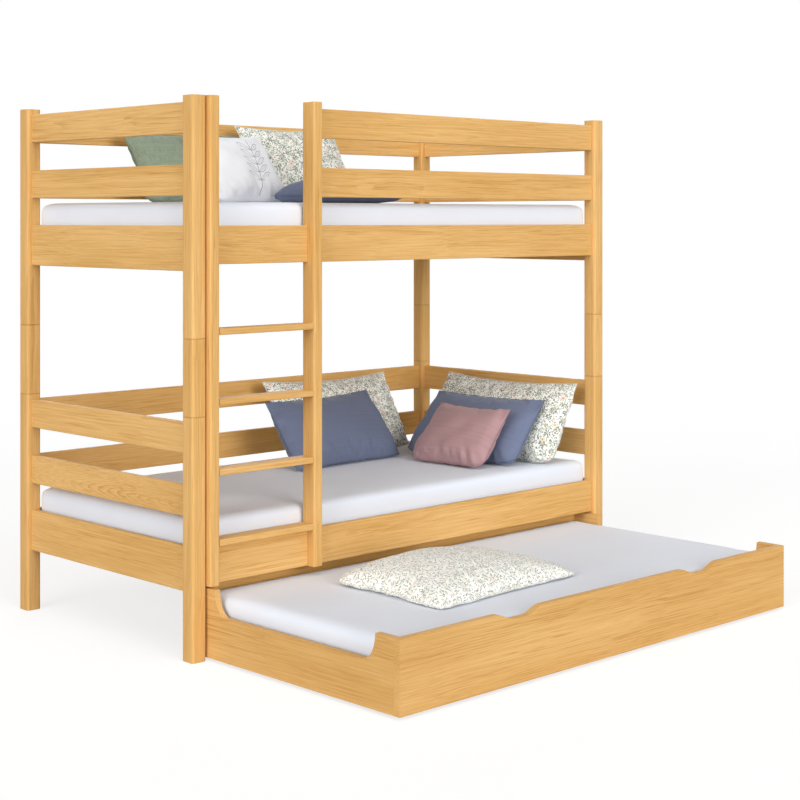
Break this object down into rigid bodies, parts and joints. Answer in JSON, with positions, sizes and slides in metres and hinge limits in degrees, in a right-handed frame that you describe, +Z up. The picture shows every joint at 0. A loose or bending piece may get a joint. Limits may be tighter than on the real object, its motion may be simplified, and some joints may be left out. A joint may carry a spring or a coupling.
{
  "type": "bunk bed with trundle drawer",
  "caption": "Wooden bunk bed with a ladder, guard rails, slatted bases, mattresses and pillows, and a trundle bed in a drawer that rolls out on castors.",
  "frame": {"origin": "on the floor, at the middle of the bounding box of the bed with its drawer pulled out", "axes": "+Z up, X along the bed with the ladder at -X, and the drawer comes out towards -Y"},
  "size_m": [2.104, 1.851, 1.8],
  "materials": {
    "pine": "clear satin lacquer over light pine with fine brown grain",
    "castor": "dark grey moulded plastic",
    "mattress_cover": "plain white cotton cover",
    "flower_cotton": "off-white cotton with a small scattered flower pattern",
    "blue_cotton": "dusty blue woven cotton",
    "pink_cotton": "dusty pink quilted cotton",
    "sage_cotton": "sage green woven cotton",
    "white_cotton": "white cotton"
  },
  "bodies": {
    "bed_frame": {"back_left_lower_post": "pine", "back_left_upper_post": "pine", "back_right_lower_post": "pine", "back_right_upper_post": "pine", "front_left_lower_post": "pine", "front_left_upper_post": "pine", "front_right_lower_post": "pine", "front_right_upper_post": "pine", "ladder_left_stile": "pine", "ladder_right_stile": "pine", "ladder_rung_1": "pine", "ladder_rung_2": "pine", "ladder_rung_3": "pine", "ladder_rung_4": "pine", "lower_back_bed_board": "pine", "lower_back_blue_pillow": "blue_cotton", "lower_back_flower_pillow": "flower_cotton", "lower_back_middle_rail": "pine", "lower_back_top_rail": "pine", "lower_end_blue_pillow": "blue_cotton", "lower_end_flower_pillow": "flower_cotton", "lower_end_pink_pillow": "pink_cotton", "lower_front_bed_board": "pine", "lower_left_bed_board": "pine", "lower_left_middle_rail": "pine", "lower_left_top_rail": "pine", "lower_mattress": "mattress_cover", "lower_right_bed_board": "pine", "lower_right_middle_rail": "pine", "lower_right_top_rail": "pine", "lower_slat_base": "pine", "upper_back_bed_board": "pine", "upper_back_middle_rail": "pine", "upper_back_top_rail": "pine", "upper_blue_pillow": "blue_cotton", "upper_flower_pillow": "flower_cotton", "upper_front_bed_board": "pine", "upper_front_middle_rail": "pine", "upper_front_top_rail": "pine", "upper_left_bed_board": "pine", "upper_left_middle_rail": "pine", "upper_left_top_rail": "pine", "upper_mattress": "mattress_cover", "upper_right_bed_board": "pine", "upper_right_middle_rail": "pine", "upper_right_top_rail": "pine", "upper_sage_pillow": "sage_cotton", "upper_slat_base": "pine", "upper_white_pillow": "white_cotton"},
    "drawer": {"drawer_back_panel": "pine", "drawer_flower_pillow": "flower_cotton", "drawer_front_panel": "pine", "drawer_left_panel": "pine", "drawer_mattress": "mattress_cover", "drawer_right_panel": "pine", "drawer_slat_base": "pine"},
    "back_left_wheel_body": {"back_left_wheel": "castor"},
    "back_right_wheel_body": {"back_right_wheel": "castor"},
    "front_left_wheel_body": {"front_left_wheel": "castor"},
    "front_right_wheel_body": {"front_right_wheel": "castor"}
  },
  "joints": [
    {"name": "drawer_slide", "type": "slide", "parent": "bed_frame", "child": "drawer", "axis": [0, 1, 0], "range_m": [-0.09, 0.866], "deforming": ["drawer_flower_pillow"]},
    {"name": "back_left_wheel_spin", "type": "hinge", "parent": "drawer", "child": "back_left_wheel_body", "pos_m": [-0.75, -0.0278, 0.025], "axis": [-1, 0, 0], "range_deg": [-210, 1990]},
    {"name": "back_right_wheel_spin", "type": "hinge", "parent": "drawer", "child": "back_right_wheel_body", "pos_m": [0.75, -0.0278, 0.025], "axis": [-1, 0, 0], "range_deg": [-210, 1990]},
    {"name": "front_left_wheel_spin", "type": "hinge", "parent": "drawer", "child": "front_left_wheel_body", "pos_m": [-0.75, -0.8732, 0.025], "axis": [-1, 0, 0], "range_deg": [-210, 1990]},
    {"name": "front_right_wheel_spin", "type": "hinge", "parent": "drawer", "child": "front_right_wheel_body", "pos_m": [0.75, -0.8732, 0.025], "axis": [-1, 0, 0], "range_deg": [-210, 1990]}
  ],
  "couplings": [
    {"joint": "back_left_wheel_spin", "follows": "drawer_slide", "rad_per_m": 40},
    {"joint": "back_right_wheel_spin", "follows": "drawer_slide", "rad_per_m": 40},
    {"joint": "front_left_wheel_spin", "follows": "drawer_slide", "rad_per_m": 40},
    {"joint": "front_right_wheel_spin", "follows": "drawer_slide", "rad_per_m": 40}
  ]
}
